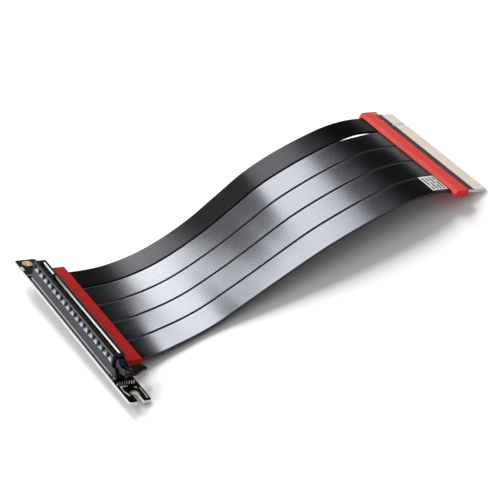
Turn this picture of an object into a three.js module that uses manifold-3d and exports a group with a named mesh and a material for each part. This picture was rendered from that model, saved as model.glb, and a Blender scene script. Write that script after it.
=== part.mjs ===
// A sixteen-lane graphics-card riser cable: a slot on a small board, five flat shielded
// ribbons in a lazy wave, and an edge connector on a second board. Millimetres, +Z up.
//
// Everything is drawn in the slot board's own frame: x across the slot towards the cable,
// y along the slot from its latch end, z up from the board's top face. The whole group is
// then tilted as the stiff cable comes to rest on a table.

import * as THREE from 'three';
import { mergeVertices } from 'three/addons/utils/BufferGeometryUtils.js';
import Module from 'manifold-3d';

const wasm = await Module();
wasm.setup();

// Sizes that the card-edge standard sets
const FINGER_PITCH = 1.0;
const LONG_CONTACTS = 71;
const SHORT_CONTACTS = 11;
const END_TO_CONTACT = 1.0;
const KEY_TO_CONTACT = 0.65;
const KEY_WIDTH = 1.9;
const LONG_SEGMENT = END_TO_CONTACT + (LONG_CONTACTS - 1) * FINGER_PITCH + KEY_TO_CONTACT;
const SHORT_SEGMENT = END_TO_CONTACT + (SHORT_CONTACTS - 1) * FINGER_PITCH + KEY_TO_CONTACT;
const SLOT_LENGTH = LONG_SEGMENT + KEY_WIDTH + SHORT_SEGMENT;
const CARD_THICKNESS = 1.57;
const HOUSING_HEIGHT = 11.25;
const END_WALL = 1.9;

// Clearances
const TOUCH = 0.02;
const FREE = 0.3;

// Slot board
const BOARD_BEYOND = { near: 23.6, far: 22.4 };
const BOARD = {
  left: -3.5, right: 7.7, near: -BOARD_BEYOND.near, far: SLOT_LENGTH + BOARD_BEYOND.far,
  thick: 1.6, corner: 0.8,
};
const HOLE_SETBACK = 4.0;
const FAR_HOLE = { x: 1.7, y: BOARD.far - HOLE_SETBACK, radius: 1.6, land: 2.7 };
const NEAR_NOTCH = { x: 2.2, half: 1.5, depth: 8.0, land: 0.9, reach: 0.8 };
const PLATING = 0.06;
const PLATING_STEPS = 16;

// Slot housing
const SLOT_HALF = 0.9;
const CAVITY_HALF = 1.45;
const CAVITY_FLOOR = 2.2;
const LIP = 1.6;
const MOUTH_BEVEL = 0.6;
const BASE_HALF = 3.4;
const FOOT_HALF = 3.2;
const TOP_HALF = 3.1;
const BASE_HEIGHT = 1.8;
const BASE_SLOPE = 0.25;
const TOP_CHAMFER = 0.3;
const END_PLAY = 0.15;
const KEY_PLAY = 0.1;
const POCKETS = 17;
const POCKET = { pitch: 5.15, length: 3.9, low: 7.15, inner_low: 8.6, high: 10.5, wall: 0.25 };
const OVERCUT = 1.0;
const HOUSING_NEAR = -END_WALL;
const HOUSING_FAR = SLOT_LENGTH + END_WALL;

// Spring contacts on the strip that carries them
const CONTACT = { half: 0.26, bar: 1.2, below_lip: 0.4, off_card: 0.2 };

// Latch beyond the housing's near end, and the two cheeks that carry it: y from that end
const PIVOT = { y: -2.7, z: 2.6, radius: 1.0, clearance: 0.06, inset: 0.1 };
const CHEEK = { near: -4.6, height: 6.0, inner: 2.25, bury: 0.5, slope: [1.5, 2.0] };
const LATCH_HALF = 2.0;
const LATCH_SIDE = [
  [-1.3, 0.8], [-0.5, 2.0], [-0.5, 10.3], [-1.0, 10.8], [-2.3, 10.5], [-4.3, 8.6], [-7.7, 8.2],
  [-11.0, 8.9], [-11.4, 8.3], [-11.1, 7.1], [-7.9, 6.2], [-5.0, 5.5], [-4.7, 1.6], [-3.7, 0.8],
];
const LATCH_RIB = { width: 0.7, side: [
  [-2.2, 9.9], [-4.1, 8.2], [-7.7, 7.8], [-10.6, 8.4], [-10.6, 9.5], [-7.6, 9.1], [-4.5, 9.6],
  [-2.4, 11.0],
] };
const LATCH_WING = { low: 6.0, high: 7.1, outline: [
  [0, -5.2], [4.4, -3.6], [8.4, -3.0], [10.6, -3.8], [11.6, -6.8], [9.6, -7.5], [5.0, -10.2], [0, -10.6],
] };

// Ribbons: centre lines at the far and the near side of the set, at the same stations
const RIBBONS = 5;
const RIBBON_MARGIN = 2.7;
const RIBBON_GAP = 0.4;
const RIBBON_PITCH = (SLOT_LENGTH - RIBBON_MARGIN) / RIBBONS;
const RIBBON_WIDTH = RIBBON_PITCH - RIBBON_GAP;
const RIBBON_THICK = 1.2;
const RIBBONS_NEAR = 0.9;
const RIBBONS_FAR = RIBBONS_NEAR + RIBBON_PITCH * (RIBBONS - 1) + RIBBON_WIDTH;
const RIBBON_STEPS = 40;
const RIBBON_LANES = 2;
const STATIONS = [9.8, 15, 23, 32, 42, 52, 64, 77, 90, 104, 118, 133, 148, 160, 173];
const FAR_HEIGHTS = [5.0, 5.0, 5.3, 6.4, 9.0, 12.8, 19.3, 28.4, 39.9, 52.3, 61.2, 68.7, 74.6, 77.0, 77.4];
const NEAR_HEIGHTS = [5.0, 5.1, 6.9, 10.3, 14.4, 19.6, 27.6, 36.3, 44.8, 53.5, 61.1, 68.4, 74.5, 77.0, 77.4];

// Moulded strain relief on the slot board
const RELIEF_BEYOND = 2.1;
const RELIEF = {
  left: 4.2, right: 13.8, near: 0.3, far: SLOT_LENGTH + RELIEF_BEYOND, top: 6.1, skirt: 3.4, under: 7.7,
  chamfer: 0.35, knee: [2.6, 0.5],
};
const RELIEF_FOOT = { inset: 3.0, top: 3.3 };
const RELIEF_POCKET = { start: 9.5, low: 4.2, high: 5.8 };
const POCKET_SIDE = 0.15;

// Edge connector: x from its own origin outwards, z from its board's mid plane
const EDGE = { x: 168.46, z: 77.2 };
const EDGE_RELIEF = {
  rear: 0.9, crest: 1.95, front: 8.47, near: -2.9, far: SLOT_LENGTH, top: 2.57, bottom: -0.85,
  shoulder: 0.75, corner: 0.3, chamfer: 0.25,
};
const EDGE_POCKET = { end: 4.9, low: -0.55, high: 0.95 };
const EDGE_SHOULDER = 3.2;
const EDGE_HOLE_BEYOND = 1.1;
const EDGE_BOARD = {
  start: 5.3, shoulder: 13.4, tip: 21.8, near: 0.0, far: SLOT_LENGTH + EDGE_SHOULDER, step: SLOT_LENGTH,
  inset: 0.3, corner: 0.6,
};
const KEY_DEPTH = 8.25;
const TIP_BEVEL = { back: 1.1, drop: 0.4, slack: 0.01 };
const EDGE_HOLE = { x: 11.2, y: SLOT_LENGTH + EDGE_HOLE_BEYOND, radius: 0.65, land: 1.0 };
const PAD = { width: 0.7, root: 15.1, bar: 0.45, tip: 20.6, thick: 0.05 };

// Label on the nearest ribbon, beside the edge connector
const LABEL = { start: 160.6, end: 169.0, near: 3.2, far: 17.0, thick: 0.1, steps: 6 };

// How the cable lies on a table: turned about y, then about x, then set on the floor
const REST = { pitch: 23.57, roll: 2.77, x: -100.78, y: -42.03, z: 5.65 };

function material(color, roughness, metalness = 0) {
  return new THREE.MeshStandardMaterial({ color, roughness, metalness });
}

const finish = {
  solderMask: () => material(0x141416, 0.45),
  housing: () => material(0x1b1d22, 0.5),
  latch: () => material(0x121316, 0.4),
  gold: () => material(0xd9b264, 0.3, 1),
  contact: () => material(0xcdb37a, 0.35, 1),
  redSlot: () => material(0xa82a27, 0.5),
  redEdge: () => material(0xe0443f, 0.45),
  ribbon: () => material(0x2b2d33, 0.4),
  paper: () => material(0xf2f1ee, 0.7),
};

// Booleans work on closed solids without normals or texture coordinates
function solid(geometry) {
  const bare = geometry.clone();
  bare.deleteAttribute('normal');
  bare.deleteAttribute('uv');
  const welded = mergeVertices(bare, 1e-5);
  return new wasm.Manifold(new wasm.Mesh({
    numProp: 3,
    vertProperties: new Float32Array(welded.attributes.position.array),
    triVerts: new Uint32Array(welded.index.array),
  }));
}

function geometryOf(manifold) {
  const mesh = manifold.getMesh();
  const geometry = new THREE.BufferGeometry();
  geometry.setAttribute('position', new THREE.BufferAttribute(new Float32Array(mesh.vertProperties), 3));
  geometry.setIndex(new THREE.BufferAttribute(new Uint32Array(mesh.triVerts), 1));
  geometry.computeVertexNormals();
  return geometry;
}

function subtract(geometry, cutters) {
  let body = solid(geometry);
  for (const cutter of cutters) {
    body = body.subtract(solid(cutter));
  }
  return geometryOf(body);
}

function unite(geometry, others) {
  let body = solid(geometry);
  for (const other of others) {
    body = body.add(solid(other));
  }
  return geometryOf(body);
}

function shapeOf(points) {
  return new THREE.Shape(points.map(([a, b]) => new THREE.Vector2(a, b)));
}

function box(x0, x1, y0, y1, z0, z1) {
  const geometry = new THREE.BoxGeometry(x1 - x0, y1 - y0, z1 - z0);
  return geometry.translate((x0 + x1) / 2, (y0 + y1) / 2, (z0 + z1) / 2);
}

// An outline in x and y, raised from z0 to z1
function plate(shape, z0, z1, curveSegments = 12) {
  const geometry = new THREE.ExtrudeGeometry(shape, { depth: z1 - z0, bevelEnabled: false, curveSegments });
  return geometry.translate(0, 0, z0);
}

// A section in x and z, drawn out along y
function alongY(points, y0, y1) {
  const geometry = new THREE.ExtrudeGeometry(shapeOf(points), { depth: y1 - y0, bevelEnabled: false });
  return geometry.rotateX(Math.PI / 2).translate(0, y1, 0);
}

// A side outline in y and z, drawn out along x
function alongX(points, x0, x1) {
  const geometry = new THREE.ExtrudeGeometry(shapeOf(points), { depth: x1 - x0, bevelEnabled: false });
  const turned = new THREE.Matrix4().makeBasis(
    new THREE.Vector3(0, 1, 0),
    new THREE.Vector3(0, 0, 1),
    new THREE.Vector3(1, 0, 0),
  );
  return geometry.applyMatrix4(turned).translate(x0, 0, 0);
}

function rodAlongX(y, z, radius, x0, x1) {
  const geometry = new THREE.CylinderGeometry(radius, radius, x1 - x0, 24);
  return geometry.rotateZ(Math.PI / 2).translate((x0 + x1) / 2, y, z);
}

function mesh(name, geometry, finishOf) {
  const made = new THREE.Mesh(geometry, finishOf());
  made.name = name;
  return made;
}

// Slot board: a strip with a plated hole at one end and an open plated notch at the other
function slotBoard() {
  const { left, right, near, far, thick, corner } = BOARD;
  const shape = new THREE.Shape();
  const notchTop = near + NEAR_NOTCH.depth - NEAR_NOTCH.half;
  shape.moveTo(left + corner, near);
  shape.lineTo(NEAR_NOTCH.x - NEAR_NOTCH.half, near);
  shape.lineTo(NEAR_NOTCH.x - NEAR_NOTCH.half, notchTop);
  shape.absarc(NEAR_NOTCH.x, notchTop, NEAR_NOTCH.half, Math.PI, 0, true);
  shape.lineTo(NEAR_NOTCH.x + NEAR_NOTCH.half, near);
  shape.lineTo(right - corner, near);
  shape.lineTo(right, near + corner);
  shape.lineTo(right, far - corner);
  shape.lineTo(right - corner, far);
  shape.lineTo(left + corner, far);
  shape.lineTo(left, far - corner);
  shape.lineTo(left, near + corner);
  const hole = new THREE.Path();
  hole.absarc(FAR_HOLE.x, FAR_HOLE.y, FAR_HOLE.radius, 0, 2 * Math.PI, false);
  shape.holes.push(hole);
  return plate(shape, -thick, 0);
}

// The plating round a hole: a barrel just inside it, with a thin land on each face
function eyelet(hole, thick) {
  const outer = hole.radius - TOUCH;
  const inner = outer - 2 * PLATING;
  const top = TOUCH + PLATING;
  const bottom = -thick - TOUCH - PLATING;
  const section = [
    [inner, bottom], [hole.land, bottom], [hole.land, bottom + PLATING], [outer, bottom + PLATING],
    [outer, top - PLATING], [hole.land, top - PLATING], [hole.land, top], [inner, top], [inner, bottom],
  ];
  const geometry = new THREE.LatheGeometry(section.map(([r, z]) => new THREE.Vector2(r, z)), PLATING_STEPS);
  return geometry.rotateX(Math.PI / 2).translate(hole.x, hole.y, 0);
}

// The land round the closed end of the notch: a U of plating on the board's top face
function notchLand() {
  const { x, half, depth, land, reach } = NEAR_NOTCH;
  const centre = BOARD.near + depth - half;
  const start = centre - reach;
  const shape = new THREE.Shape();
  shape.moveTo(x - half - land, start);
  shape.lineTo(x - half, start);
  shape.lineTo(x - half, centre);
  shape.absarc(x, centre, half, Math.PI, 0, true);
  shape.lineTo(x + half, start);
  shape.lineTo(x + half + land, start);
  shape.lineTo(x + half + land, centre);
  shape.absarc(x, centre, half + land, 0, Math.PI, false);
  return plate(shape, TOUCH, TOUCH + PLATING);
}

// Slot housing: stepped body, slot with its key, side pockets and the latch's two cheeks
function slotHousing() {
  const half = [
    [BASE_HALF, TOUCH], [BASE_HALF, BASE_HEIGHT], [FOOT_HALF, BASE_HEIGHT + BASE_SLOPE],
    [TOP_HALF, HOUSING_HEIGHT - TOP_CHAMFER], [TOP_HALF - TOP_CHAMFER, HOUSING_HEIGHT],
  ];
  const section = [...half, ...half.map(([x, z]) => [-x, z]).reverse()];
  const body = alongY(section, HOUSING_NEAR, HOUSING_FAR);
  const [slopeLength, slopeDrop] = CHEEK.slope;
  const cheekSide = [
    [CHEEK.bury, TOUCH], [CHEEK.bury, CHEEK.height], [CHEEK.near + slopeLength, CHEEK.height],
    [CHEEK.near, CHEEK.height - slopeDrop], [CHEEK.near, TOUCH],
  ];
  const cheeks = [[-FOOT_HALF, -CHEEK.inner], [CHEEK.inner, FOOT_HALF]].map(
    ([x0, x1]) => alongX(cheekSide, x0, x1).translate(0, HOUSING_NEAR, 0),
  );
  const segments = [
    [-END_PLAY, LONG_SEGMENT + KEY_PLAY],
    [LONG_SEGMENT + KEY_WIDTH - KEY_PLAY, SLOT_LENGTH + END_PLAY],
  ];
  const mouthLow = HOUSING_HEIGHT - MOUTH_BEVEL;
  const mouth = [
    [-SLOT_HALF, mouthLow], [SLOT_HALF, mouthLow],
    [SLOT_HALF + OVERCUT, mouthLow + OVERCUT], [-SLOT_HALF - OVERCUT, mouthLow + OVERCUT],
  ];
  const cutters = [];
  for (const [y0, y1] of segments) {
    cutters.push(box(-SLOT_HALF, SLOT_HALF, y0, y1, CAVITY_FLOOR, HOUSING_HEIGHT + OVERCUT));
    cutters.push(box(-CAVITY_HALF, CAVITY_HALF, y0, y1, CAVITY_FLOOR, HOUSING_HEIGHT - LIP));
    cutters.push(alongY(mouth, y0, y1));
  }
  for (let i = 0; i < POCKETS; i += 1) {
    const centre = SLOT_LENGTH / 2 + (i - (POCKETS - 1) / 2) * POCKET.pitch;
    const y0 = centre - POCKET.length / 2;
    const y1 = centre + POCKET.length / 2;
    const inner = CAVITY_HALF + POCKET.wall;
    const slope = (POCKET.inner_low - POCKET.low) / (FOOT_HALF - inner);
    const right = [
      [inner, POCKET.inner_low], [FOOT_HALF + OVERCUT, POCKET.low - slope * OVERCUT],
      [FOOT_HALF + OVERCUT, POCKET.high], [inner, POCKET.high],
    ];
    cutters.push(alongY(right, y0, y1));
    cutters.push(alongY(right.map(([x, z]) => [-x, z]).reverse(), y0, y1));
  }
  cutters.push(rodAlongX(
    HOUSING_NEAR + PIVOT.y, PIVOT.z, PIVOT.radius + PIVOT.clearance, -BASE_HALF, BASE_HALF,
  ));
  return geometryOf(cutters.reduce(
    (made, cutter) => made.subtract(solid(cutter)),
    solid(unite(body, cheeks)),
  ));
}

// A row of spring contacts on the strip that carries them, standing in one side of the slot
function contactRow(side, first, count) {
  const { half, bar, below_lip: belowLip, off_card: offCard } = CONTACT;
  const low = CAVITY_FLOOR + TOUCH;
  const high = HOUSING_HEIGHT - LIP - belowLip;
  const points = [[first - half, low]];
  const last = first + (count - 1) * FINGER_PITCH;
  points.push([last + half, low]);
  for (let i = count - 1; i >= 0; i -= 1) {
    const y = first + i * FINGER_PITCH;
    points.push([y + half, high], [y - half, high]);
    if (i > 0) {
      points.push([y - half, low + bar], [y - FINGER_PITCH + half, low + bar]);
    }
  }
  const inner = CARD_THICKNESS / 2 + offCard;
  const outer = CAVITY_HALF - TOUCH;
  return side < 0 ? alongX(points, -outer, -inner) : alongX(points, inner, outer);
}

// Latch: an upright at the slot's end on two pivot stubs, with a broad finger lever
function latch() {
  const body = alongX(LATCH_SIDE, -LATCH_HALF, LATCH_HALF);
  const wing = plate(shapeOf(LATCH_WING.outline), LATCH_WING.low, LATCH_WING.high);
  const stubEnd = FOOT_HALF - PIVOT.inset;
  const stub = rodAlongX(PIVOT.y, PIVOT.z, PIVOT.radius, -stubEnd, stubEnd);
  const ribs = [-LATCH_HALF, LATCH_HALF - LATCH_RIB.width].map(
    (x) => alongX(LATCH_RIB.side, x, x + LATCH_RIB.width),
  );
  return unite(body, [wing, stub, ...ribs]).translate(0, HOUSING_NEAR, 0);
}

// Strain relief moulded over the ribbons' ends, standing on the slot board
function slotRelief() {
  const { left, right, near, far, top, skirt, under, chamfer, knee } = RELIEF;
  const foot = box(left - OVERCUT, right, near - OVERCUT, near + RELIEF_FOOT.inset, 0, RELIEF_FOOT.top);
  const section = [
    [left, TOUCH], [under, TOUCH], [right - knee[0], skirt - knee[1]], [right, skirt],
    [right, top - chamfer], [right - chamfer, top], [left + chamfer, top], [left, top - chamfer],
  ];
  const pockets = [];
  for (let i = 0; i < RIBBONS; i += 1) {
    const y0 = RIBBONS_NEAR + i * RIBBON_PITCH;
    pockets.push(box(
      RELIEF_POCKET.start, right + OVERCUT,
      y0 - POCKET_SIDE, y0 + RIBBON_WIDTH + POCKET_SIDE,
      RELIEF_POCKET.low, RELIEF_POCKET.high,
    ));
  }
  return subtract(alongY(section, near, far), [foot, ...pockets]);
}

// Side profile of the cable: its centre line at one place across the set of ribbons
function centreLine(y) {
  const across = (y - RIBBONS_NEAR) / (RIBBONS_FAR - RIBBONS_NEAR);
  const points = STATIONS.map((x, i) => new THREE.Vector3(
    x,
    y,
    THREE.MathUtils.lerp(NEAR_HEIGHTS[i], FAR_HEIGHTS[i], across),
  ));
  return new THREE.CatmullRomCurve3(points, false, 'centripetal');
}

// A flat strip on the wave: a box whose points move onto the centre line at their place across
function stripOnWave(from, to, y0, y1, low, high, steps) {
  const geometry = new THREE.BoxGeometry(1, y1 - y0, high - low, steps, RIBBON_LANES, 1);
  geometry.translate(0.5, (y0 + y1) / 2, (low + high) / 2);
  const position = geometry.attributes.position;
  const lines = new Map();
  for (let i = 0; i < position.count; i += 1) {
    const y = position.getY(i);
    const key = y.toFixed(3);
    if (!lines.has(key)) {
      lines.set(key, centreLine(y));
    }
    const line = lines.get(key);
    const at = THREE.MathUtils.lerp(from, to, position.getX(i));
    const point = line.getPointAt(at);
    const along = line.getTangentAt(at);
    const off = position.getZ(i);
    position.setXYZ(i, point.x - along.z * off, y, point.z + along.x * off);
  }
  geometry.deleteAttribute('uv');
  geometry.deleteAttribute('normal');
  const welded = mergeVertices(geometry, 1e-5);
  welded.computeVertexNormals();
  return welded;
}

function ribbon(index) {
  const y0 = RIBBONS_NEAR + (RIBBONS - 1 - index) * RIBBON_PITCH;
  return stripOnWave(0, 1, y0, y0 + RIBBON_WIDTH, -RIBBON_THICK / 2, RIBBON_THICK / 2, RIBBON_STEPS);
}

// The share of the centre line's length at which it has come as far across as x
function shareAt(x, y) {
  const line = centreLine(y);
  let low = 0;
  let high = 1;
  for (let i = 0; i < 40; i += 1) {
    const middle = (low + high) / 2;
    if (line.getPointAt(middle).x < x) {
      low = middle;
    } else {
      high = middle;
    }
  }
  return (low + high) / 2;
}

function label() {
  const middle = (LABEL.near + LABEL.far) / 2;
  const low = RIBBON_THICK / 2 + TOUCH;
  return stripOnWave(
    shareAt(LABEL.start, middle), shareAt(LABEL.end, middle),
    LABEL.near, LABEL.far, low, low + LABEL.thick, LABEL.steps,
  );
}

// Strain relief at the edge connector, with a pocket for each ribbon and one for the board
function edgeRelief() {
  const { rear, crest, front, near, far, top, bottom, shoulder, corner, chamfer } = EDGE_RELIEF;
  const section = [
    [rear, bottom + corner], [rear, shoulder], [crest, top], [front - chamfer, top],
    [front, top - chamfer], [front, bottom], [rear + corner, bottom],
  ];
  const cutters = [box(
    EDGE_POCKET.end - TOUCH, front + OVERCUT,
    EDGE_BOARD.near - FREE, EDGE_BOARD.step + OVERCUT,
    -CARD_THICKNESS / 2 - TOUCH, CARD_THICKNESS / 2 + TOUCH,
  )];
  for (let i = 0; i < RIBBONS; i += 1) {
    const y0 = RIBBONS_NEAR + i * RIBBON_PITCH;
    cutters.push(box(
      rear - OVERCUT, EDGE_POCKET.end,
      y0 - POCKET_SIDE, y0 + RIBBON_WIDTH + POCKET_SIDE,
      EDGE_POCKET.low, EDGE_POCKET.high,
    ));
  }
  return subtract(alongY(section, near, far), cutters);
}

// Edge board: the card edge with its key notch and bevelled tip, and a small far shoulder
function edgeBoard() {
  const { start, shoulder, tip, near, far, step, inset, corner } = EDGE_BOARD;
  const half = CARD_THICKNESS / 2;
  const keyEnd = LONG_SEGMENT + KEY_WIDTH;
  const cheek = EDGE_RELIEF.front + FREE;
  const outline = [
    [start, near + inset], [shoulder - corner, near + inset], [shoulder, near], [tip - corner, near],
    [tip, near + corner], [tip, LONG_SEGMENT], [tip - KEY_DEPTH, LONG_SEGMENT], [tip - KEY_DEPTH, keyEnd],
    [tip, keyEnd], [tip, step - corner], [tip - corner, step], [shoulder, step], [shoulder, far],
    [cheek, far], [cheek, step - inset], [start, step - inset],
  ];
  const { x: holeX, y: holeY, radius } = EDGE_HOLE;
  const hole = new THREE.CylinderGeometry(radius, radius, 2 * CARD_THICKNESS, PLATING_STEPS);
  const { back, drop, slack } = TIP_BEVEL;
  const slope = drop / back;
  const bevel = [
    [tip - back, half + slack], [tip + OVERCUT, half + slack],
    [tip + OVERCUT, half - drop - slope * OVERCUT], [tip, half - drop],
  ];
  return subtract(plate(shapeOf(outline), -half, half), [
    hole.rotateX(Math.PI / 2).translate(holeX, holeY, 0),
    alongY(bevel, near - OVERCUT, step + OVERCUT),
    alongY(bevel.map(([x, z]) => [x, -z]).reverse(), near - OVERCUT, step + OVERCUT),
  ]);
}

// Gold fingers of one segment on one face, joined at their root by the plating bar
function padRow(side, first, count) {
  const half = PAD.width / 2;
  const last = first + (count - 1) * FINGER_PITCH;
  const points = [[PAD.root, last + half], [PAD.root, first - half]];
  for (let i = 0; i < count; i += 1) {
    const y = first + i * FINGER_PITCH;
    points.push([PAD.tip, y - half], [PAD.tip, y + half]);
    if (i < count - 1) {
      points.push([PAD.root + PAD.bar, y + half], [PAD.root + PAD.bar, y + FINGER_PITCH - half]);
    }
  }
  const face = CARD_THICKNESS / 2 + TOUCH;
  const shape = shapeOf(points);
  return side > 0 ? plate(shape, face, face + PAD.thick) : plate(shape, -face - PAD.thick, -face);
}

function build() {
  const riser = new THREE.Group();
  riser.name = 'riser_cable';

  const slotEnd = new THREE.Group();
  const shortFirst = LONG_SEGMENT + KEY_WIDTH + KEY_TO_CONTACT;
  slotEnd.add(mesh('slot_board', slotBoard(), finish.solderMask));
  slotEnd.add(mesh('board_hole_plating', eyelet(FAR_HOLE, BOARD.thick), finish.gold));
  slotEnd.add(mesh('board_notch_plating', notchLand(), finish.gold));
  slotEnd.add(mesh('slot_housing', slotHousing(), finish.housing));
  for (const [word, side] of [['left', -1], ['right', 1]]) {
    const long = contactRow(side, END_TO_CONTACT, LONG_CONTACTS);
    const short = contactRow(side, shortFirst, SHORT_CONTACTS);
    slotEnd.add(mesh(`contacts_${word}_long`, long, finish.contact));
    slotEnd.add(mesh(`contacts_${word}_short`, short, finish.contact));
  }
  slotEnd.add(mesh('retention_latch', latch(), finish.latch));
  slotEnd.add(mesh('slot_strain_relief', slotRelief(), finish.redSlot));
  riser.add(slotEnd);

  const cable = new THREE.Group();
  for (let i = 0; i < RIBBONS; i += 1) {
    cable.add(mesh(`ribbon_${i + 1}`, ribbon(i), finish.ribbon));
  }
  cable.add(mesh('label', label(), finish.paper));
  riser.add(cable);

  const edgeEnd = new THREE.Group();
  edgeEnd.position.set(EDGE.x, 0, EDGE.z);
  edgeEnd.add(mesh('edge_strain_relief', edgeRelief(), finish.redEdge));
  edgeEnd.add(mesh('edge_board', edgeBoard(), finish.solderMask));
  const edgeEyelet = eyelet(EDGE_HOLE, CARD_THICKNESS).translate(0, 0, CARD_THICKNESS / 2);
  edgeEnd.add(mesh('edge_hole_plating', edgeEyelet, finish.gold));
  for (const [word, side] of [['top', 1], ['bottom', -1]]) {
    edgeEnd.add(mesh(`fingers_${word}_long`, padRow(side, END_TO_CONTACT, LONG_CONTACTS), finish.gold));
    edgeEnd.add(mesh(`fingers_${word}_short`, padRow(side, shortFirst, SHORT_CONTACTS), finish.gold));
  }
  riser.add(edgeEnd);

  const pitched = new THREE.Group();
  pitched.rotation.y = THREE.MathUtils.degToRad(REST.pitch);
  pitched.add(riser);
  const rested = new THREE.Group();
  rested.rotation.x = THREE.MathUtils.degToRad(REST.roll);
  rested.position.set(REST.x, REST.y, REST.z);
  rested.add(pitched);
  return rested;
}

export default build();
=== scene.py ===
"""Looks of a sixteen-lane graphics-card riser cable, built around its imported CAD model.

Places are given in the slot board's own frame, in millimetres: x across the slot towards the
cable, y along the slot from its latch end, z up from the board's top face. BoardFrame turns
them into the row frame, in metres, where the stiff cable lies on a table.
"""

import logging
import math
from collections.abc import Iterable, Iterator
from dataclasses import dataclass, field
from enum import Enum

import bmesh
import bpy
from mathutils import Matrix, Vector


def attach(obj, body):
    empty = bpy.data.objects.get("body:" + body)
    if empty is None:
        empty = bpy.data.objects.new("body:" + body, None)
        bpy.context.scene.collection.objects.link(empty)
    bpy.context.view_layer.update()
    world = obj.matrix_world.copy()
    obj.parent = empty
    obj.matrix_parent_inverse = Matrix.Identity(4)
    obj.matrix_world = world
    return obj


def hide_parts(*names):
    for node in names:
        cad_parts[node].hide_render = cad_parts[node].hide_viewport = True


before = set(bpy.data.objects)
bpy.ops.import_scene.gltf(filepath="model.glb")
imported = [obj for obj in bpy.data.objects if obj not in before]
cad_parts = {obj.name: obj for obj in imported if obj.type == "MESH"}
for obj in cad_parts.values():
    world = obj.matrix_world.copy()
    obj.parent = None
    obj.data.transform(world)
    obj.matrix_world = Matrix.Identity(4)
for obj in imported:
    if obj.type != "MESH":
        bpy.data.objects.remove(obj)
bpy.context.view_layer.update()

MM = 0.001
IMAGE_SIDE = 500
SOFT_EDGE_MM = 0.05
WELD_MM = 0.002
SHARP_EDGE_DEG = 28
INK_THICK_MM = 0.03
log = logging.getLogger("riser")

Tree = bpy.types.NodeTree
Socket = bpy.types.NodeSocket
Colour = str | tuple | Socket


@dataclass(frozen=True)
class BoardFrame:
    """Where the slot board's own frame lies in the row frame."""

    pitch: float = math.radians(23.57)
    roll: float = math.radians(2.77)
    shift: tuple[float, float, float] = (-100.78, -42.03, 5.65)

    def turn(self) -> Matrix:
        """The turn alone, as a 4x4 matrix."""
        return Matrix.Rotation(self.roll, 4, "X") @ Matrix.Rotation(self.pitch, 4, "Y")

    def matrix(self) -> Matrix:
        """Board millimetres to row metres."""
        return Matrix.Translation(Vector(self.shift) * MM) @ self.turn() @ Matrix.Scale(MM, 4)

    def point(self, place: Vector) -> Vector:
        """A place on the board, as a point of the row frame."""
        return self.matrix() @ Vector(place)

    def way(self, direction: tuple[float, float, float]) -> Vector:
        """A direction on the board, as a unit vector of the row frame."""
        return (self.turn() @ Vector(direction)).normalized()


BOARD = BoardFrame()


def linear(hex_colour: str) -> tuple[float, float, float, float]:
    """Turns an sRGB hex colour into the linear values that shaders take.

    Args:
        hex_colour: Colour such as "#a8c0d0".

    Returns:
        Linear red, green, blue and an alpha of 1.
    """
    channels = [int(hex_colour[i : i + 2], 16) / 255 for i in (1, 3, 5)]
    red, green, blue = (c / 12.92 if c <= 0.04045 else ((c + 0.055) / 1.055) ** 2.4 for c in channels)
    return red, green, blue, 1.0


def node(tree: Tree, kind: str, inputs: dict | None = None, **settings) -> bpy.types.Node:
    """Adds a node with its settings, values and links.

    Args:
        tree: Node tree that takes it.
        kind: Blender's name for the node type.
        inputs: Sockets by name or index, each with a value or the output that feeds it.
        settings: Properties of the node.

    Returns:
        The new node.
    """
    made = tree.nodes.new(kind)
    for key, value in settings.items():
        setattr(made, key, value)
    for key, value in (inputs or {}).items():
        if isinstance(value, Socket):
            tree.links.new(value, made.inputs[key])
        else:
            made.inputs[key].default_value = value
    return made


def board_millimetres(tree: Tree) -> Socket:
    """Object coordinates turned back into the board's frame, in millimetres."""
    place = node(tree, "ShaderNodeTexCoord")
    mapping = node(tree, "ShaderNodeMapping", {
        "Vector": place.outputs["Object"],
        "Location": Vector(BOARD.shift) * MM,
        "Rotation": BOARD.turn().to_euler("XYZ"),
        "Scale": (MM, MM, MM),
    }, vector_type="TEXTURE")
    return mapping.outputs["Vector"]


def noise(tree: Tree, vector: Socket, size_mm: float, detail: float = 3.0,
          stretch: tuple[float, float, float] = (1.0, 1.0, 1.0)) -> Socket:
    """A noise whose blobs are about size_mm across, drawn out by stretch along each axis."""
    scaled = node(tree, "ShaderNodeMapping", {
        "Vector": vector,
        "Scale": [1 / (size_mm * s) for s in stretch],
    })
    made = node(tree, "ShaderNodeTexNoise", {
        "Vector": scaled.outputs["Vector"], "Scale": 1.0, "Detail": detail,
    })
    return made.outputs["Fac"]


def spread(tree: Tree, value: Socket, low: float, high: float,
           start: float = 0.3, end: float = 0.7) -> Socket:
    """Maps a noise's usual values, start to end, onto low to high."""
    made = node(tree, "ShaderNodeMapRange", {
        "Value": value, "From Min": start, "From Max": end, "To Min": low, "To Max": high,
    })
    return made.outputs["Result"]


def past(tree: Tree, value: Socket, level: float) -> Socket:
    """A mask that rises from 0 at level to 1 just past it."""
    return spread(tree, value, 0.0, 1.0, level, level + SOFT_EDGE_MM)


def coordinate(tree: Tree, place: Socket, axis: str) -> Socket:
    """One coordinate of a place: X, Y or Z."""
    return node(tree, "ShaderNodeSeparateXYZ", {0: place}).outputs[axis]


def blend(tree: Tree, share: Socket, first: Colour, second: Colour) -> Socket:
    """Mixes two colours, each a hex string, linear values or an output, by share."""
    first, second = (linear(c) if isinstance(c, str) else c for c in (first, second))
    made = node(tree, "ShaderNodeMix", {0: share, 6: first, 7: second}, data_type="RGBA")
    return made.outputs[2]


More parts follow.
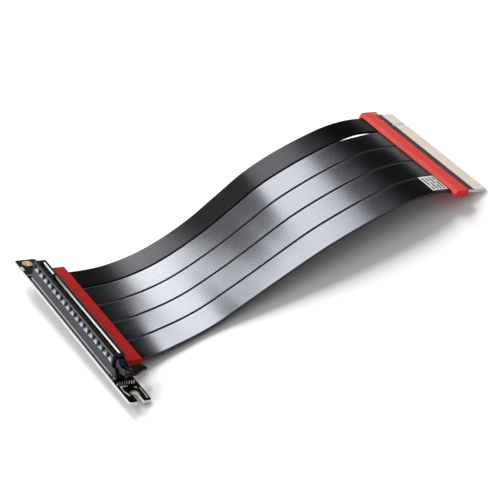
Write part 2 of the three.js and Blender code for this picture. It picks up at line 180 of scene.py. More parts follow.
def facing(tree: Tree, direction: Vector, start: float, end: float) -> Socket:
    """A mask of the faces that look along direction: 0 below start, 1 above end."""
    place = node(tree, "ShaderNodeTexCoord")
    dot = node(tree, "ShaderNodeVectorMath", {
        0: place.outputs["Normal"], 1: direction,
    }, operation="DOT_PRODUCT")
    return spread(tree, dot.outputs["Value"], 0.0, 1.0, start, end)


def either(tree: Tree, first: Socket, second: Socket) -> Socket:
    """The larger of two masks."""
    return node(tree, "ShaderNodeMath", {0: first, 1: second}, operation="MAXIMUM").outputs["Value"]


@dataclass(frozen=True)
class Finish:
    """A surface: what it is made of, and how that surface was made."""

    name: str
    colour: str
    roughness: float
    metallic: float = 0.0
    ior: float = 1.5
    specular: float = 0.5
    grain_mm: float = 0.4
    grain_height_mm: float = 0.0
    blotch_grains: float = 6.0
    shine_spread: tuple[float, float] = (0.85, 1.15)

    def material(self) -> bpy.types.Material:
        """Makes the material, or returns the one made before."""
        found = bpy.data.materials.get(self.name)
        if found:
            return found
        made = bpy.data.materials.new(self.name)
        made.use_nodes = True
        tree = made.node_tree
        shader = tree.nodes["Principled BSDF"]
        shader.inputs["Base Color"].default_value = linear(self.colour)
        shader.inputs["Roughness"].default_value = self.roughness
        shader.inputs["Metallic"].default_value = self.metallic
        shader.inputs["IOR"].default_value = self.ior
        shader.inputs["Specular IOR Level"].default_value = self.specular
        self.detail(tree, shader)
        return made

    def detail(self, tree: Tree, shader: bpy.types.Node) -> None:
        """Adds mottling and a fine grain; a finish with more to show extends or replaces this."""
        place = board_millimetres(tree)
        self.shine(tree, shader, noise(tree, place, self.grain_mm * self.blotch_grains))
        self.bump(tree, shader, noise(tree, place, self.grain_mm), self.grain_height_mm)

    def shine(self, tree: Tree, shader: bpy.types.Node, pattern: Socket) -> None:
        """Lets a pattern vary the roughness within shine_spread."""
        low, high = (self.roughness * share for share in self.shine_spread)
        tree.links.new(spread(tree, pattern, low, high), shader.inputs["Roughness"])

    def bump(self, tree: Tree, shader: bpy.types.Node, height: Socket, height_mm: float) -> None:
        """Lets a height pattern turn the surface's normals.

        Args:
            tree: The material's node tree.
            shader: Its Principled shader.
            height: Pattern from 0 to 1.
            height_mm: Real height of the pattern's full range.
        """
        bumped = node(tree, "ShaderNodeBump", {"Height": height, "Distance": height_mm * MM, "Strength": 1.0})
        tree.links.new(bumped.outputs["Normal"], shader.inputs["Normal"])


@dataclass(frozen=True)
class BoardFinish(Finish):
    """Glass-fibre laminate under black solder mask; its routed edges show the pale fibre, lightened to white
    by a painted highlight.

    Beyond bare_from, in board millimetres along x, the mask is left open and the laminate shows.
    """

    # The edges' colours: pale laminate, lightened to white by a painted highlight
    edge: str = "#ffffff"
    fibre: str = "#f6f3ea"
    fibre_mm: float = 0.5
    fibre_stretch: tuple[float, float, float] = (4, 4, 0.3)
    edge_roughness: float = 0.6
    face_cut: tuple[float, float] = (0.55, 0.65)
    bare: str = "#f1e6e0"
    bare_from: float = 1000.0

    def detail(self, tree: Tree, shader: bpy.types.Node) -> None:
        """Pale fibre on the routed edges, lightened to white by a painted highlight, and the mask's soft
        orange peel on the faces.
        """
        place = board_millimetres(tree)
        up = BOARD.way((0, 0, 1))
        flat = either(tree, facing(tree, up, *self.face_cut), facing(tree, -up, *self.face_cut))
        streaks = noise(tree, place, self.fibre_mm, stretch=self.fibre_stretch)
        # Pale fibre on the edges, lightened by a painted highlight
        edge_fibre_and_painted_highlight = blend(tree, streaks, self.fibre, self.edge)
        opened = past(tree, coordinate(tree, place, "X"), self.bare_from)
        faces = blend(tree, opened, self.colour, self.bare)
        tree.links.new(blend(tree, flat, edge_fibre_and_painted_highlight, faces), shader.inputs["Base Color"])
        satin = spread(tree, flat, self.edge_roughness, self.roughness, 0, 1)
        tree.links.new(satin, shader.inputs["Roughness"])
        self.bump(tree, shader, noise(tree, place, self.grain_mm), self.grain_height_mm)


@dataclass(frozen=True)
class HousingFinish(Finish):
    """Glass-filled polymer, moulded: black, with a painted slate reflection on its walls and painted
    highlights on its slopes.

    The painted highlights on the slopes, on the opening's bevel and on the line over the base, and the
    painted shade on the base, are fields of colour. Heights are in board millimetres, and each cut is
    where a mask of faces begins and where it is full.
    """

    # Painted slate reflection on the side walls; the tops keep the black colour
    painted_wall_reflection: str = "#2b2f3a"
    wall_roughness: float = 0.42
    # Painted highlight on the slopes of the pockets in the side walls
    painted_window_highlight: str = "#c3c5d2"
    # Painted highlight on the bevel at the slot's opening, on the cable side
    painted_mouth_highlight: str = "#f2f2f6"
    # Painted shade on the base, with a painted highlight line along its top
    painted_foot_shade: str = "#08090a"
    painted_foot_line_highlight: str = "#b4b6be"
    slope: tuple[float, float] = (0.695, 0.719)
    slope_cut: tuple[float, float] = (0.975, 0.99)
    top_cut: tuple[float, float] = (0.6, 0.8)
    cable_half: tuple[float, float] = (-0.1, 0.1)
    foot_top: float = 1.8
    line_top: float = 2.1
    mouth_low: float = 10.55

    def detail(self, tree: Tree, shader: bpy.types.Node) -> None:
        """Painted slate reflection on the walls, painted highlights on the slopes, the opening's bevel and
        the line over the base, painted shade on the base, and a fine moulded grain.
        """
        place = board_millimetres(tree)
        height = coordinate(tree, place, "Z")
        out, up = self.slope
        left, right = (facing(tree, BOARD.way((side * out, 0, up)), *self.slope_cut) for side in (-1, 1))
        top = facing(tree, BOARD.way((0, 0, 1)), *self.top_cut)
        # Black tops, and a painted slate reflection on the walls
        body = blend(tree, top, self.painted_wall_reflection, self.colour)
        # Painted highlights on the pocket slopes
        with_painted_slope_highlights = blend(tree, either(tree, left, right), body, self.painted_window_highlight)
        # Painted highlight on the opening's bevel, on the cable side
        by_cable = spread(tree, coordinate(tree, place, "X"), 0.0, 1.0, *self.cable_half)
        lit = node(tree, "ShaderNodeMath", {0: left, 1: by_cable}, operation="MULTIPLY").outputs["Value"]
        upper_with_painted_highlights = blend(tree, past(tree, height, self.mouth_low), with_painted_slope_highlights, blend(tree, lit, body, self.painted_mouth_highlight))
        # Painted shade on the base below foot_top, and a painted highlight line up to line_top
        over_foot = past(tree, height, self.foot_top - SOFT_EDGE_MM)
        painted_foot_shade_and_line = blend(tree, over_foot, self.painted_foot_shade, self.painted_foot_line_highlight)
        skin_with_painted_light = blend(tree, past(tree, height, self.line_top), painted_foot_shade_and_line, upper_with_painted_highlights)
        tree.links.new(skin_with_painted_light, shader.inputs["Base Color"])
        satin = spread(tree, top, self.wall_roughness, self.roughness, 0, 1)
        tree.links.new(satin, shader.inputs["Roughness"])
        self.bump(tree, shader, noise(tree, place, self.grain_mm), self.grain_height_mm)


@dataclass(frozen=True)
class CrestFinish(Finish):
    """Satin elastomer with a thin painted highlight along its rounded ridge towards the cable."""

    # Painted highlight along the rounded ridge
    painted_crest_highlight: str = "#ffdcd6"
    crest_way: tuple[float, float, float] = (-0.5, 0.0, 0.866)
    crest_cut: tuple[float, float] = (0.9, 0.92)

    def detail(self, tree: Tree, shader: bpy.types.Node) -> None:
        """The ridge's painted highlight, and the usual grain."""
        super().detail(tree, shader)
        # Painted highlight: a pale line on the faces that look along crest_way
        mask = facing(tree, BOARD.way(self.crest_way), *self.crest_cut)
        tree.links.new(blend(tree, mask, self.colour, self.painted_crest_highlight), shader.inputs["Base Color"])


@dataclass(frozen=True)
class RibbonFinish(Finish):
    """Extruded flexible jacket over flat pairs of wires: fine lengthwise lines, with painted shade in their
    valleys, and a soft grain.
    """

    lines_mm: float = 0.45
    lines_height_mm: float = 0.0012
    lines_stretch: tuple[float, float, float] = (60, 1, 1)
    grain_stretch: tuple[float, float, float] = (1.6, 1, 1)
    shine_spread: tuple[float, float] = (0.85, 1.2)
    # Painted shade in the valleys of the lengthwise lines
    painted_valley_shade: str = "#070709"
    sheen: str = "#e4e9fb"

    def detail(self, tree: Tree, shader: bpy.types.Node) -> None:
        """Lines drawn out along the ribbon, on its own length and width coordinates, with painted shade where
        they are low.
        """
        place = node(tree, "ShaderNodeUVMap", uv_map="length_width").outputs["UV"]
        lines = noise(tree, place, self.lines_mm, detail=2.0, stretch=self.lines_stretch)
        grain = noise(tree, place, self.grain_mm, detail=2.0, stretch=self.grain_stretch)
        self.shine(tree, shader, lines)
        # Painted shade: darker where the lines' bump is low
        tree.links.new(blend(tree, lines, self.painted_valley_shade, self.colour), shader.inputs["Base Color"])
        shader.inputs["Specular Tint"].default_value = linear(self.sheen)
        first = node(tree, "ShaderNodeBump", {
            "Height": lines, "Distance": self.lines_height_mm * MM, "Strength": 1.0,
        })
        second = node(tree, "ShaderNodeBump", {
            "Height": grain, "Distance": self.grain_height_mm * MM, "Strength": 1.0,
            "Normal": first.outputs["Normal"],
        })
        tree.links.new(second.outputs["Normal"], shader.inputs["Normal"])


# Black liquid solder mask, cured on glass fibre: glossy, with a faint orange peel
SOLDER_MASK = BoardFinish("black_solder_mask", "#050506", 0.25, specular=0.25, grain_mm=0.7,
                          grain_height_mm=0.002)
# The same mask on the edge board, left open round the fingers, where the pale laminate shows
EDGE_MASK = BoardFinish("black_solder_mask_open_edge", "#050506", 0.25, specular=0.2, grain_mm=0.7,
                        grain_height_mm=0.002, bare_from=183.3)
# Hard gold over nickel, plated: smooth and pale
GOLD = Finish("hard_gold_plate", "#f2d2a2", 0.32, metallic=1.0, grain_mm=0.3, grain_height_mm=0.001)
# Hard gold on the card edge's fingers, polished by the slot it slides into, coloured almost white: a painted
# highlight
FINGER_GOLD_PAINTED_HIGHLIGHT = Finish("finger_gold_plate", "#fbe9da", 0.16, metallic=1.0, grain_mm=0.3, grain_height_mm=0.0005)
# Thin gold on sprung contacts: a little duller
CONTACT_GOLD = Finish("contact_gold_flash", "#d9c08a", 0.38, metallic=1.0, grain_mm=0.3,
                      grain_height_mm=0.001)
# Glass-filled polymer, moulded: black and glossier on top, satin on its walls, where a slate reflection,
# highlights and shade are painted
HOUSING = HousingFinish("moulded_slot_polymer", "#0b0c0e", 0.25, specular=0.35, grain_mm=0.25,
                        grain_height_mm=0.002)
# Nylon, moulded and tumbled: black, with a faint gloss
LATCH = Finish("moulded_black_nylon", "#060607", 0.22, specular=0.25, grain_mm=0.3, grain_height_mm=0.002)
# Red elastomer moulded over the wires' ends: satin, deep red at the slot
RED_SLOT = Finish("red_overmould_deep", "#b0201b", 0.36, specular=0.06, grain_mm=0.3,
                  grain_height_mm=0.004)
# The same elastomer at the card edge, coloured a brighter red, with a painted highlight along its ridge
RED_EDGE = CrestFinish("red_overmould_bright", "#e43c31", 0.36, specular=0.12, grain_mm=0.3,
                       grain_height_mm=0.003)
# Smooth extruded jacket with a drawn surface: broad silver sheen on black
JACKET = RibbonFinish("extruded_gloss_jacket", "#0a0b0e", 0.2, ior=1.55, grain_mm=0.55, grain_height_mm=0.007)
# The far ribbon's duller jacket: almost black, with a faint sheen
DULL_JACKET = RibbonFinish("extruded_dull_jacket", "#0c0c0e", 0.22, ior=1.4, specular=0.1, grain_mm=0.55,
                           grain_height_mm=0.002)
# Coated white film with pressure-sensitive glue: smooth, hardly glossy
LABEL_FILM = Finish("white_label_film", "#eeecea", 0.5, grain_mm=0.4, grain_height_mm=0.001)
# Thermal-transfer ink on the label: matt, near black
LABEL_INK = Finish("label_ink", "#29262b", 0.6, grain_mm=0.4, grain_height_mm=0.001)
# White epoxy ink, screened on the board: matt
SILK_INK = Finish("screened_white_ink", "#e6e6e2", 0.6, grain_mm=0.3, grain_height_mm=0.002)
# Lead-free solder, wave soldered: bright domes
SOLDER = Finish("wave_soldered_tin", "#c4c6ca", 0.28, metallic=1.0, grain_mm=0.3, grain_height_mm=0.003)
# The studio's paper floor: matt, pale
PAPER = Finish("pale_studio_paper", "#f4f4f3", 0.9, specular=0.1)
# Black cloth that the jackets reflect: dead matt
FLAG_CLOTH = Finish("black_flag_cloth", "#050505", 0.9, specular=0.0)


def piece_from(bm: bmesh.types.BMesh, name: str, finish: Finish, body: str,
               matrix: Matrix | None = None, smooth: bool = False) -> bpy.types.Object:
    """Turns a finished bmesh into a piece that rides on a CAD body.

    Args:
        bm: The shape; it is freed here.
        name: The piece's name.
        finish: Its surface.
        body: The CAD body that carries it.
        matrix: What brings the shape into the row frame; None where it is there already.
        smooth: Whether its faces are shaded smooth.

    Returns:
        The object, at the origin, with its place in its mesh.
    """
    if matrix is not None:
        bmesh.ops.transform(bm, matrix=matrix, verts=bm.verts)
    for face in bm.faces:
        face.smooth = smooth
    mesh = bpy.data.meshes.new(name)
    bm.to_mesh(mesh)
    bm.free()
    mesh.materials.append(finish.material())
    made = bpy.data.objects.new(name, mesh)
    bpy.context.scene.collection.objects.link(made)
    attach(made, body)
    log.info("%s: %d faces, %s", name, len(mesh.polygons), finish.name)
    return made


def slab(bm: bmesh.types.BMesh, low: tuple[float, float, float], high: tuple[float, float, float],
         lean: float = 0.0) -> list[bmesh.types.BMVert]:
    """Adds a box between two corners; lean shifts its far edge along x.

    Args:
        bm: Shape that takes it.
        low: Lowest corner, board millimetres.
        high: Highest corner.
        lean: How far the high-y side is moved along x.

    Returns:
        The new box's vertices.
    """
    low, high = Vector(low), Vector(high)
    middle, size = (low + high) / 2, high - low
    made = bmesh.ops.create_cube(bm, size=1.0, matrix=Matrix.LocRotScale(middle, None, size))["verts"]
    for vert in made:
        if vert.co.y > middle.y:
            vert.co.x += lean
    return made


def stage_sheet(name: str, material: bpy.types.Material, matrix: Matrix, width: float,
                height: float) -> bpy.types.Object:
    """Makes a flat sheet that belongs to the studio, not to the part.

    Args:
        name: The sheet's name.
        material: Its material.
        matrix: Where it stands, in metres.
        width: Its size along its own x axis.
        height: Its size along its own y axis.

    Returns:
        The sheet, at the origin, with its place in its mesh.
    """
    bm = bmesh.new()
    bmesh.ops.create_grid(bm, x_segments=1, y_segments=1, size=0.5)
    bmesh.ops.transform(bm, matrix=matrix @ Matrix.Diagonal((width, height, 1, 1)), verts=bm.verts)
    mesh = bpy.data.meshes.new(name)
    bm.to_mesh(mesh)
    bm.free()
    mesh.materials.append(material)
    made = bpy.data.objects.new(name, mesh)
    bpy.context.scene.collection.objects.link(made)
    return made


@dataclass(frozen=True)
class Mark:
    """A printed bar, in board millimetres; lean is how far its far end is shifted along x."""

    x: tuple[float, float]
    y: tuple[float, float]
    lean: float = 0.0


class Dresser:
    """Gives carried-over CAD nodes their finish and their small rounded edges."""

    def dress(self, name: str, finish: Finish, slot: str, edge_mm: float = 0.0, steps: int = 2) -> None:
        """Dresses one CAD node.

        Args:
            name: The node.
            finish: Its surface.
            slot: Its material slot in the record; not used.
            edge_mm: Width of the rounding on its edges, 0 for none.
            steps: Faces across that rounding.
        """
        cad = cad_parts[name]
        cad.data.materials.clear()
        cad.data.materials.append(finish.material())
        if edge_mm:
            weld = cad.modifiers.new("weld", "WELD")
            weld.merge_threshold = WELD_MM * MM
            bevel = cad.modifiers.new("rounded_edges", "BEVEL")
            bevel.width = edge_mm * MM
            bevel.segments = steps
            bevel.limit_method = "ANGLE"
            bevel.angle_limit = math.radians(SHARP_EDGE_DEG)
            bevel.use_clamp_overlap = True
        log.info("%s: CAD node, %s", name, finish.name)

    def screen_print(self, name: str, marks: Iterable[Mark], low: float, matrix: Matrix) -> None:
        """Lays white marks on a board.

        Args:
            name: The piece's name.
            marks: The bars.
            low: Height of their underside, in board millimetres.
            matrix: What brings them into the row frame.
        """
        bm = bmesh.new()
        for mark in marks:
            (x0, x1), (y0, y1) = mark.x, mark.y
            slab(bm, (x0, y0, low), (x1, y1, low + INK_THICK_MM), mark.lean)
        piece_from(bm, name, SILK_INK, "riser", matrix)


@dataclass
class SlotEnd(Dresser):
    """The slot board with its housing, contacts, latch and strain relief."""

    board_thick: float = 1.6
    ink_lift: float = 0.005
    hatch: Mark = Mark((-3.1, -2.6), (-9.4, -6.8), 1.3)
    hatch_bars: int = 8
    hatch_pitch: float = 1.2
    notch_marks: tuple[Mark, ...] = (
        Mark((-1.9, 1.4), (-11.2, -10.1), 0.3),
        Mark((-2.2, -1.7), (-16.0, -10.4)),
        Mark((-1.5, -0.7), (-18.3, -15.6), -0.5),
        Mark((6.1, 6.7), (-21.6, -13.0), 0.2),
        Mark((4.4, 5.4), (-13.2, -11.9)),
    )
    hole_marks: tuple[Mark, ...] = (
        Mark((-3.1, 4.6), (92.5, 92.8)),
        Mark((4.9, 7.2), (96.0, 99.4), -0.5),
        Mark((-3.1, -2.1), (97.5, 101.0)),
    )
    pins: int = 82
    first_pin: float = 0.8
    pin_pitch: float = 1.02
    pin_rows: tuple[float, ...] = (-2.6, -1.0, 1.0, 2.6)
    joint_radius: float = 0.42
    joint_height: float = 0.55
    joint_taper: float = 0.4
    joint_sides: int = 8

    def build(self) -> None:
        """Dresses the CAD nodes and adds the print and the solder joints."""
        self.dress("slot_board", SOLDER_MASK, "solder_mask", 0.06, 1)
        self.dress("board_hole_plating", GOLD, "gold_plating")
        self.dress("board_notch_plating", GOLD, "gold_plating")
        self.dress("slot_housing", HOUSING, "housing_plastic", 0.14)
        for side in ("left", "right"):
            for segment in ("long", "short"):
                self.dress(f"contacts_{side}_{segment}", CONTACT_GOLD, "gold_plating")
        self.dress("retention_latch", LATCH, "latch_plastic", 0.2, 3)
        self.dress("slot_strain_relief", RED_SLOT, "red_relief", 0.3, 3)
        marks = (*self.hatch_marks(), *self.notch_marks, *self.hole_marks)
        self.screen_print("board_print", marks, self.ink_lift, BOARD.matrix())
        self.solder_joints()

    def hatch_marks(self) -> Iterator[Mark]:
        """The slanting bars between the latch and the notch."""
        (x0, x1), along = self.hatch.x, self.hatch.y
        for i in range(self.hatch_bars):
            yield Mark((x0 + i * self.hatch_pitch, x1 + i * self.hatch_pitch), along, self.hatch.lean)

    def solder_joints(self) -> None:
        """The contacts' soldered tails, four rows of small domes under the board."""
        bm = bmesh.new()
        for i in range(self.pins):
            for row in self.pin_rows[i % 2 :: 2]:
                tip = Matrix.LocRotScale(
                    (row, self.first_pin + i * self.pin_pitch, -self.board_thick - self.joint_height / 2),
                    Matrix.Rotation(math.pi, 3, "X").to_quaternion(), None,
                )
                bmesh.ops.create_cone(
                    bm, cap_ends=True, segments=self.joint_sides, radius1=self.joint_radius,
                    radius2=self.joint_radius * self.joint_taper, depth=self.joint_height, matrix=tip,
                )
        piece_from(bm, "solder_joints", SOLDER, "riser", BOARD.matrix(), smooth=True)


@dataclass
class Wave:
    """The side profile that the ribbons follow, at any place across the set."""

    near: float = 0.9
    far: float = 83.0
    stations: tuple[float, ...] = (9.8, 15, 23, 32, 42, 52, 64, 77, 90, 104, 118, 133, 148, 160, 173)
    far_heights: tuple[float, ...] = (5.0, 5.0, 5.3, 6.4, 9.0, 12.8, 19.3, 28.4, 39.9, 52.3, 61.2, 68.7, 74.6,
                                      77.0, 77.4)
    near_heights: tuple[float, ...] = (5.0, 5.1, 6.9, 10.3, 14.4, 19.6, 27.6, 36.3, 44.8, 53.5, 61.1, 68.4,
                                       74.5, 77.0, 77.4)
    steps: int = 16
    lines: dict[float, list[tuple[float, Vector]]] = field(default_factory=dict)

    def knots(self, across: float) -> list[Vector]:
        """The points of one profile, with one more past each end."""
        share = (across - self.near) / (self.far - self.near)
        inner = [
            Vector((x, across, low + (high - low) * share))
            for x, low, high in zip(self.stations, self.near_heights, self.far_heights)
        ]
        return [2 * inner[0] - inner[1], *inner, 2 * inner[-1] - inner[-2]]

    def line(self, across: float) -> list[tuple[float, Vector]]:
        """Points along one profile with their distance from its start.

        Args:
            across: Place across the set, along y.

        Returns:
            Distance and point, in board millimetres, on a centripetal curve through the knots.
        """
        key = round(across, 3)
        if key not in self.lines:
            knots = self.knots(across)
            points = [knots[1]]
            for before, start, end, after in zip(knots, knots[1:], knots[2:], knots[3:]):
                pairs = ((before, start), (start, end), (end, after))
                first, second, third = (math.sqrt((b - a).length) for a, b in pairs)
                chord = (end - start) / second
                out = (start - before) / first - (end - before) / (first + second) + chord
                into = chord - (after - start) / (second + third) + (after - end) / third
                for i in range(1, self.steps + 1):
                    points.append(hermite(start, out * second, end, into * second, i / self.steps))
            reached, measured = 0.0, [(0.0, points[0])]
            for a, b in zip(points, points[1:]):
                reached += (b - a).length
                measured.append((reached, b))
            self.lines[key] = measured
        return self.lines[key]

    def length(self, across: float) -> float:
        """Length of one profile, in millimetres."""
        return self.line(across)[-1][0]

    def at(self, share: float, across: float) -> tuple[Vector, Vector]:
        """A point of the profile and the upward normal there.

        Args:
            share: Share of the profile's length, 0 to 1.
            across: Place across the set, along y.

        Returns:
            The point and the unit normal, in board millimetres.
        """
        line = self.line(across)
        aim = share * line[-1][0]
        low, high = 0, len(line) - 1
        while high - low > 1:
            middle = (low + high) // 2
            low, high = (middle, high) if line[middle][0] <= aim else (low, middle)
        (d0, a), (d1, b) = line[low], line[high]
        along = (b - a).normalized()
        return a.lerp(b, (aim - d0) / (d1 - d0)), Vector((-along.z, 0, along.x))

    def share_at(self, x: float, across: float) -> float:
        """The share of the length at which the profile has come as far as x."""
        line = self.line(across)
        for (d0, a), (d1, b) in zip(line, line[1:]):
            if b.x >= x:
                return (d0 + (d1 - d0) * (x - a.x) / (b.x - a.x)) / line[-1][0]
        return 1.0


def hermite(start: Vector, out: Vector, end: Vector, into: Vector, t: float) -> Vector:
    """The point at t of a cubic through start and end with those end tangents."""
    return (
        start * (2 * t**3 - 3 * t**2 + 1) + out * (t**3 - 2 * t**2 + t)
        + end * (3 * t**2 - 2 * t**3) + into * (t**3 - t**2)
    )


class Jacket(Enum):
    """Which jacket a ribbon has."""

    GLOSS = JACKET
    DULL = DULL_JACKET


@dataclass
class Cable(Dresser):
    """Five flat ribbons side by side, and the label on the nearest."""

    wave: Wave = field(default_factory=Wave)
    count: int = 5
    pitch: float = 16.5
    width: float = 16.1
    thick: float = 1.2
    ridge_pitch: float = 1.15
    ridge_height: float = 0.02
    ridge_steps: int = 5
    side_steps: int = 6
    rings: int = 130
    slit_at: tuple[float, float] = (143.0, 170.0)
    slit_depth: float = 1.0
    seam: float = 0.0001
    label_top: float = 0.13
    bars_from: float = 161.5
    bars_pitch: float = 1.9
    bars_deep: float = 0.85
    bars_thick: float = 0.02
    bars_sides: tuple[float, float] = (4.0, 15.6)
    breaks: tuple[float, ...] = (7.1, 10.6, 8.2, 11.4)
    break_width: float = 1.2
    jackets: tuple[Jacket, ...] = (Jacket.DULL, Jacket.GLOSS, Jacket.GLOSS, Jacket.GLOSS, Jacket.GLOSS)

    def build(self) -> None:
        film = self.label()
        for index, jacket in enumerate(self.jackets):
            ribbon = self.ribbon(index, jacket)
            centre = self.near_side(index) + self.width / 2
            path = [BOARD.point(self.wave.at(i / self.rings, centre)[0]) for i in range(self.rings + 1)]
            self.wave.length(centre) * MM

    def near_side(self, index: int) -> float:
        """The y of a ribbon's near side; ribbon 1 is the far one."""
        return self.wave.near + (self.count - 1 - index) * self.pitch

    def section(self) -> Iterator[tuple[float, float]]:
        """Goes once round a ribbon's section.

        Yields:
            Distance from the near side and height above the middle, in millimetres.
        """
        half = self.thick / 2
        ridges = round((self.width - self.thick) / self.ridge_pitch)
        steps = ridges * self.ridge_steps
        flat = self.width - self.thick
        for side in (1, -1):
            for i in range(steps):
                run = i / steps
                rise = self.ridge_height * abs(math.sin(math.pi * ridges * run))
                across = half + flat * (run if side > 0 else 1 - run)
                yield across, side * (half - self.ridge_height + rise)
            for i in range(self.side_steps):
                turn = math.pi * i / self.side_steps
                reach = (half - self.ridge_height) * math.sin(turn)
                across = self.width - half + reach if side > 0 else half - reach
                yield across, side * (half - self.ridge_height) * math.cos(turn)

    def slit(self, index: int, x: float, run: float) -> float:
        """How far the slit beside the card edge draws a ribbon's side back.

        Args:
            index: The ribbon, from 0 at the far side.
            x: Place along the board's x axis.
            run: 0 at the ribbon's near side, 1 at its far side.

        Returns:
            Shift along y, in millimetres: ribbon 1 gives way away from the gap, ribbon 2 towards the viewer.
        """
        start, end = self.slit_at
        if index > 1 or not start < x < end:
            return 0.0
        bow = math.sin(math.pi * (x - start) / (end - start)) ** 2 * self.slit_depth
        return bow * (1 - run) ** 2 if index == 0 else -bow * run**2

    def ribbon(self, index: int, jacket: Jacket) -> bpy.types.Object:
        """Rolls a grid up into one ribbon's tube along the wave, and closes its ends."""
        section = [*self.section()]
        around = len(section)
        near = self.near_side(index)
        bm = bmesh.new()
        bmesh.ops.create_grid(bm, x_segments=self.rings, y_segments=around, size=0.5)
        layer = bm.loops.layers.uv.new("length_width")
        girth = 2 * self.width
        total = self.wave.length(near + self.width / 2)
        for face in bm.faces:
            for loop in face.loops:
                spot = loop.vert.co
                loop[layer].uv = ((spot.x + 0.5) * total, (spot.y + 0.5) * girth)
        for vert in bm.verts:
            across, height = section[round((vert.co.y + 0.5) * around) % around]
            point, up = self.wave.at(vert.co.x + 0.5, near + across)
            point.y += self.slit(index, point.x, across / self.width)
            vert.co = point + up * height
        bmesh.ops.remove_doubles(bm, verts=bm.verts, dist=self.seam)
        bmesh.ops.holes_fill(bm, edges=[e for e in bm.edges if e.is_boundary])
        bmesh.ops.recalc_face_normals(bm, faces=bm.faces)
        name = f"ribbon_jacket_{index + 1}"
        made = piece_from(bm, name, jacket.value, "riser", BOARD.matrix(), smooth=True)
        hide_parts(f"ribbon_{index + 1}")
        return made

    def label(self) -> list[bpy.types.Object]:
        """Dresses the label and lays plain printed bars on it."""
        self.dress("label", LABEL_FILM, "white_label")
        bm = bmesh.new()
        low = self.thick / 2 + self.label_top
        near, far = self.bars_sides
        for i, gap in enumerate(self.breaks):
            x = self.bars_from + self.bars_pitch * i
            for start, end in ((near, gap), (gap + self.break_width, far)):
                slab(bm, (x, start, low), (x + self.bars_deep, end, low + self.bars_thick))
        for vert in bm.verts:
            share = self.wave.share_at(vert.co.x, vert.co.y)
            point, up = self.wave.at(share, vert.co.y)
            vert.co = point + up * vert.co.z
        bars_piece = piece_from(bm, "label_print", LABEL_INK, "riser", BOARD.matrix())
        return [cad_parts["label"], bars_piece]


@dataclass
class EdgeEnd(Dresser):
    """The edge board with its fingers, and its strain relief."""

    origin: tuple[float, float, float] = (168.46, 0.0, 77.2)
    board_thick: float = 1.57
    ink_lift: float = 0.01
    marks: tuple[Mark, ...] = (
        Mark((14.2, 14.75), (0.4, 84.8)),
        Mark((10.0, 10.9), (74.2, 76.0)),
        Mark((10.0, 10.9), (77.4, 78.6)),
        Mark((12.2, 12.8), (84.0, 87.0)),
    )

    def build(self) -> None:
        """Dresses the CAD nodes, and prints a line at the fingers' roots and marks at the far end."""
        self.dress("edge_strain_relief", RED_EDGE, "red_relief", 0.3, 3)
        self.dress("edge_board", EDGE_MASK, "solder_mask", 0.05, 1)
        self.dress("edge_hole_plating", GOLD, "gold_plating")
        for face in ("top", "bottom"):
            for segment in ("long", "short"):
                self.dress(f"fingers_{face}_{segment}", FINGER_GOLD_PAINTED_HIGHLIGHT, "gold_plating")
        placed = BOARD.matrix() @ Matrix.Translation(self.origin)
        self.screen_print("edge_print", self.marks, self.board_thick / 2 + self.ink_lift, placed)


class Part(Enum):
    """What a studio card does."""

    LAMP = "lamp"
    FLAG = "flag"


@dataclass
class Card:
    """A flat lamp or black flag that faces the object from one direction.

    Azimuth runs from the row's +X towards +Y, elevation from the floor, both in degrees.
    """

    name: str
    part: Part
    azimuth: tuple[float, float]
    elevation: tuple[float, float]
    radiance: float = 0.0
    distance: float = 2.0

    def place(self) -> tuple[Matrix, float, float]:
        """Where the card stands, facing the object, and its width and height in metres."""
        turn, rise = (math.radians(sum(pair) / 2) for pair in (self.azimuth, self.elevation))
        out = Vector((math.cos(turn) * math.cos(rise), math.sin(turn) * math.cos(rise), math.sin(rise)))
        spans = [math.radians(pair[1] - pair[0]) / 2 for pair in (self.azimuth, self.elevation)]
        width = 2 * self.distance * math.tan(spans[0]) * math.cos(rise)
        height = 2 * self.distance * math.tan(spans[1])
        facing_in = out.to_track_quat("Z", "Y").to_matrix().to_4x4()
        return Matrix.Translation(out * self.distance) @ facing_in, width, height

    def build(self) -> None:
        """Makes the lamp, or the flag that only reflections see."""
        matrix, width, height = self.place()
        if self.part is Part.LAMP:
            lamp = bpy.data.lights.new(self.name, "AREA")
            lamp.shape = "RECTANGLE"
            lamp.size, lamp.size_y = width, height
            lamp.energy = self.radiance * math.pi * width * height
            made = bpy.data.objects.new(self.name, lamp)
            made.matrix_world = matrix
            bpy.context.scene.collection.objects.link(made)
        else:
            made = stage_sheet(self.name, FLAG_CLOTH.material(), matrix, width, height)
            made.visible_diffuse = False
            made.visible_shadow = False
            made.visible_transmission = False
        made.visible_camera = False


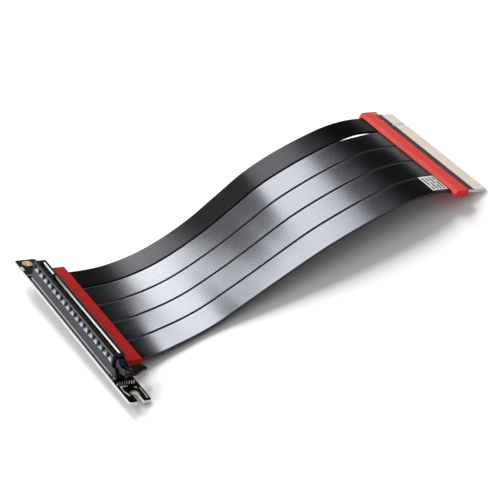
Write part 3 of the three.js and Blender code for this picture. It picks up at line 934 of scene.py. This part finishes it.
@dataclass
class Studio:
    """Floor, lamps, flags, the white surround and the camera."""

    eye: tuple[float, float, float] = (-0.265649, -0.716947, 0.547863)
    tilt_deg: tuple[float, float, float] = (53.3976, 12.2811, -28.84977)
    focal_px: float = 1930.05
    sensor_mm: float = 36.0
    clip_start: float = 0.05
    ambient: float = 0.3
    floor_side: float = 12.0
    floor_drop: float = 0.00005
    floor_white: float = 1.25
    cards: tuple[Card, ...] = (
        Card("back_softbox", Part.LAMP, (67.4, 88.0), (20.0, 58.0), 11.5),
        Card("side_strip", Part.LAMP, (106.0, 131.0), (20.0, 50.0), 6.5),
        Card("low_left", Part.LAMP, (175.0, 205.0), (8.0, 28.0), 3.0),
        Card("back_flag", Part.FLAG, (5.0, 66.0), (12.5, 56.0), distance=2.2),
    )

    def build(self) -> None:
        """Builds all of it."""
        self.floor()
        self.surround()
        for card in self.cards:
            card.build()
        self.camera()
        bpy.context.scene.view_settings.view_transform = "Standard"

    def floor(self) -> None:
        """A plain pale sheet under the object; the camera alone sees it a little whiter."""
        paper = PAPER.material()
        tree = paper.node_tree
        seen = node(tree, "ShaderNodeLightPath").outputs["Is Camera Ray"]
        white = (self.floor_white,) * 3 + (1.0,)
        shade = blend(tree, seen, PAPER.colour, white)
        tree.links.new(shade, tree.nodes["Principled BSDF"].inputs["Base Color"])
        level = Matrix.Translation((0, 0, -self.floor_drop))
        stage_sheet("floor", paper, level, self.floor_side, self.floor_side)

    def surround(self) -> None:
        """White where the camera, a reflection or glass sees it, and a soft fill for the rest."""
        world = bpy.context.scene.world or bpy.data.worlds.new("studio")
        bpy.context.scene.world = world
        world.use_nodes = True
        tree = world.node_tree
        tree.nodes.clear()
        path = node(tree, "ShaderNodeLightPath").outputs
        direct = either(tree, path["Is Camera Ray"], path["Is Glossy Ray"])
        seen = either(tree, direct, path["Is Transmission Ray"])
        strength = spread(tree, seen, self.ambient, 1.0, 0, 1)
        back = node(tree, "ShaderNodeBackground", {"Color": (1, 1, 1, 1), "Strength": strength})
        node(tree, "ShaderNodeOutputWorld", {"Surface": back.outputs["Background"]})

    def camera(self) -> None:
        """The camera at the photograph's angle."""
        lens = bpy.data.cameras.new("camera")
        lens.sensor_width = self.sensor_mm
        lens.lens = self.focal_px * lens.sensor_width / IMAGE_SIDE
        lens.clip_start = self.clip_start
        made = bpy.data.objects.new("camera", lens)
        made.location = self.eye
        made.rotation_euler = [math.radians(a) for a in self.tilt_deg]
        bpy.context.scene.collection.objects.link(made)
        bpy.context.scene.camera = made


def write_sizes() -> None:
    """Brings the view layer up to date."""
    bpy.context.view_layer.update()


def main() -> None:
    """Builds the studio, then each sub-assembly in order."""
    logging.basicConfig(level=logging.INFO, format="%(name)s: %(message)s")
    for builder in (Studio(), Cable(), SlotEnd(), EdgeEnd()):
        log.info("building %s", type(builder).__name__)
        builder.build()
    write_sizes()


if __name__ == "__main__":
    main()
